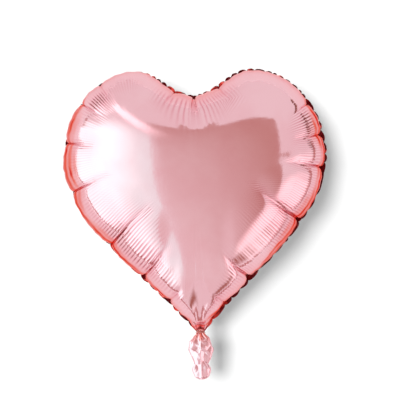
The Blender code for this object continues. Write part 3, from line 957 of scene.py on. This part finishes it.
def thread_material():
    """Rose twisted thread with a fibre sheen."""
    material, tree, shader, place = new_material("thread")
    fibre = noise(tree, place, 900.0, 4.0, 0.7)
    coat(tree, shader, mix_colour(tree, spread(tree, fibre, 0.3, 0.7), THREAD_DARK, THREAD_LIGHT), 0.62)
    shader.inputs["Sheen Weight"].default_value = 0.3
    add_relief(tree, shader, fibre, 0.5, 0.0001)
    return material


def floor_material():
    """A matt white floor."""
    material, tree, shader, place = new_material("floor")
    cloud = spread(tree, noise(tree, place, 3.0), 0.3, 0.7)
    coat(tree, shader, mix_colour(tree, cloud, FLOOR_WHITE, FLOOR_BRIGHTER), 0.9)
    return material


def give(item, material):
    item.data.materials.clear()
    item.data.materials.append(material)


tail_finish = foil_material("tail_foil", 0.11, 0.8)
valve_finish = clear_film_material()
thread_finish = thread_material()


# What moves with what

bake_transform(front_foil)
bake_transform(rear_foil)
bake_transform(tail_film)
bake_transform(tail_tip_film)
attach(neck_thread, "neck")
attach(tie_knot_thread, "neck")
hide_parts("front_panel", "edge_seal", "neck_front_ply")
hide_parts("rear_panel", "neck_rear_ply")
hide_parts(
    "tail_front_ply", "tail_rear_ply", "tail_valve_front_ply", "tail_valve_rear_ply"
)
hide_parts("tail_tip_front_ply", "tail_tip_rear_ply")
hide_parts("neck_tie")
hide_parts("tie_knot")
for item, finish, slot in (
    (front_foil, foil_material("front_foil", 0.06, 0.35), "front_foil"),
    (rear_foil, foil_material("rear_foil", 0.08, 0.35), "rear_foil"),
    (tail_film, tail_finish, "tail_foil"),
    (tail_tip_film, tail_finish, "tail_foil"),
    (neck_thread, thread_finish, "thread"),
    (tie_knot_thread, thread_finish, "thread"),
):
    give(item, finish)
for name in (
    "valve_front_film", "valve_rear_film", "valve_front_flap", "valve_rear_flap", "neck_valve_plies",
):
    give(nodes[name], valve_finish)

# The floor picks up no pink light from the foil.
for item in (front_foil, rear_foil, tail_film, tail_tip_film):
    item.visible_diffuse = False


# Floor, light and camera


def rectangle(name, half_width, half_length):
    """A flat rectangle round its own origin, in metres."""
    mesh = bpy.data.meshes.new(name)
    corners = [(x * half_width, y * half_length, 0.0) for x, y in ((-1, -1), (1, -1), (1, 1), (-1, 1))]
    mesh.from_pydata(corners, [], [(0, 1, 2, 3)])
    return placed(name, mesh)


def card(name, centre, sides, facing, colour, strength, soft, along_axis=(0, 0, 1)):
    """A flat glowing panel with soft borders. Only reflections see it, and it throws no shadow."""
    half_sides = sides[0] / 2.0, sides[1] / 2.0
    panel = rectangle(name, *half_sides)
    panel.location = centre
    back = (Vector(centre) - Vector(facing)).normalized()
    upward = (Vector(along_axis) - Vector(along_axis).dot(back) * back).normalized()
    panel.rotation_euler = Matrix((upward.cross(back), upward, back)).transposed().to_euler()
    material, tree, shader, place = new_material(name, "ShaderNodeMixShader")
    parts = node(tree, "ShaderNodeSeparateXYZ", {0: place}).outputs
    share = 1.0
    for axis, (half, blur) in enumerate(zip(half_sides, soft)):
        away = arithmetic(tree, "ABSOLUTE", parts[axis])
        share = arithmetic(tree, "MULTIPLY", share, spread(tree, away, half * (1.0 - blur), half, 1.0, 0.0))
    glow = node(tree, "ShaderNodeEmission", {"Color": (*colour, 1.0), "Strength": strength})
    feed(tree, shader.inputs[0], share)
    feed(tree, shader.inputs[1], node(tree, "ShaderNodeBsdfTransparent").outputs[0])
    feed(tree, shader.inputs[2], glow.outputs[0])
    give(panel, material)
    panel.visible_camera = False
    panel.visible_shadow = False
    panel.visible_diffuse = False
    return tree, glow, place


def sun(name, towards, strength, spread_degrees):
    """Even light over the whole floor, left out of reflections."""
    data = bpy.data.lights.new(name, "SUN")
    data.energy = strength
    data.angle = math.radians(spread_degrees)
    light = placed(name, data)
    light.rotation_euler = Vector(towards).to_track_quat("-Z", "Y").to_euler()
    light.visible_glossy = False


FLOOR_HALF_SIDE = 6.0
floor = rectangle("floor", FLOOR_HALF_SIDE, FLOOR_HALF_SIDE)
give(floor, floor_material())

world = bpy.data.worlds.new("studio")
world.use_nodes = True
background = world.node_tree.nodes["Background"]
background.inputs["Color"].default_value = (1.0, 1.0, 1.0, 1.0)
background.inputs["Strength"].default_value = 1.0
world.cycles_visibility.diffuse = False
scene.world = world
sun("key", towards=(0.33, -0.13, -1.0), strength=2.5, spread_degrees=20.0)
sun("fill", towards=(0.05, 0.0, -1.0), strength=1.4, spread_degrees=150.0)

TARGET = (0.0, 0.0, SEAM_Z * MM)
WHITE = (1.0, 1.0, 1.0)
WARM_WHITE = (1.0, 0.99, 0.98)
COOL_WHITE = (0.76, 1.0, 0.98)
FLAG_BROWN = (0.9, 0.4, 0.3)
FLAG_ROSE = (1.0, 0.55, 0.5)
CEILING_LIGHT, CEILING_DARK = (0.97, 0.93, 0.92, 1.0), (0.66, 0.42, 0.38, 1.0)

left_tree, left_glow, left_place = card(
    "left_softbox", centre=(-1.50, -0.75, 1.20), sides=(3.1, 4.6), facing=(0.0, -0.86, 0.1),
    colour=COOL_WHITE, strength=1.0, soft=(0.03, 0.3), along_axis=(0, 1, 0),
)
left_across = node(left_tree, "ShaderNodeSeparateXYZ", {0: left_place}).outputs[0]
left_strength = spread(left_tree, left_across, 0.3, 1.5, 2.05, 1.40)
feed(left_tree, left_glow.inputs["Strength"], left_strength)

ceiling_tree, ceiling_glow, ceiling_place = card(
    "ceiling", centre=(0.61, -0.75, 2.1), sides=(2.20, 4.9), facing=(0.61, -0.75, 0.0),
    colour=WHITE, strength=1.0, soft=(0.16, 0.03), along_axis=(0, 1, 0),
)
ceiling_slant = {0: ceiling_place, 1: (0.75, 0.45, 0.0)}
ceiling_turn = node(ceiling_tree, "ShaderNodeVectorMath", ceiling_slant, operation="DOT_PRODUCT")
ceiling_fall = spread(ceiling_tree, ceiling_turn.outputs["Value"], -0.9, 1.1)
ceiling_colour = mix_colour(ceiling_tree, ceiling_fall, CEILING_LIGHT, CEILING_DARK)
feed(ceiling_tree, ceiling_glow.inputs["Color"], ceiling_colour)

card(
    "low_right_softbox", centre=(1.30, -0.75, 0.85), sides=(2.3, 1.8), facing=TARGET,
    colour=WARM_WHITE, strength=1.6, soft=(0.75, 0.75),
)
card(
    "high_streak", centre=(-0.60, 1.03, 0.95), sides=(0.26, 1.7), facing=TARGET,
    colour=WHITE, strength=1.8, soft=(0.7, 0.7), along_axis=(0.65, -0.46, 0.95),
)
card(
    "right_flag", centre=(1.6, 0.92, 0.34), sides=(0.9, 0.30), facing=TARGET,
    colour=FLAG_BROWN, strength=0.3, soft=(0.3, 0.3),
)
card(
    "low_flag", centre=(0.56, -1.34, 0.66), sides=(1.2, 0.6), facing=TARGET,
    colour=FLAG_BROWN, strength=0.5, soft=(0.95, 0.95),
)
SKIRTING_AWAY, SKIRTING_HEIGHT = 2.2, 0.52
skirting_middle = SKIRTING_HEIGHT / 2.0
for number, (x, y) in enumerate(((-SKIRTING_AWAY, 0.0), (SKIRTING_AWAY, 0.0), (0.0, -SKIRTING_AWAY))):
    card(
        f"skirting_{number}", centre=(x, y, skirting_middle), sides=(4.0, SKIRTING_HEIGHT),
        facing=(0.0, 0.0, skirting_middle), colour=FLAG_ROSE, strength=0.62, soft=(0.2, 0.7),
    )

CAMERA_AIM = (0.016, -0.041)
CAMERA_DISTANCE = 1.43
CAMERA_ROLL = math.radians(-1.6)
camera_data = bpy.data.cameras.new("camera")
camera_data.lens = 85.0
camera_data.sensor_width = 36.0
camera = placed("camera", camera_data)
camera.location = (*CAMERA_AIM, SEAM_Z * MM + CAMERA_DISTANCE)
camera.rotation_euler = (0.0, 0.0, CAMERA_ROLL)
scene.camera = camera
scene.view_settings.view_transform = "Standard"
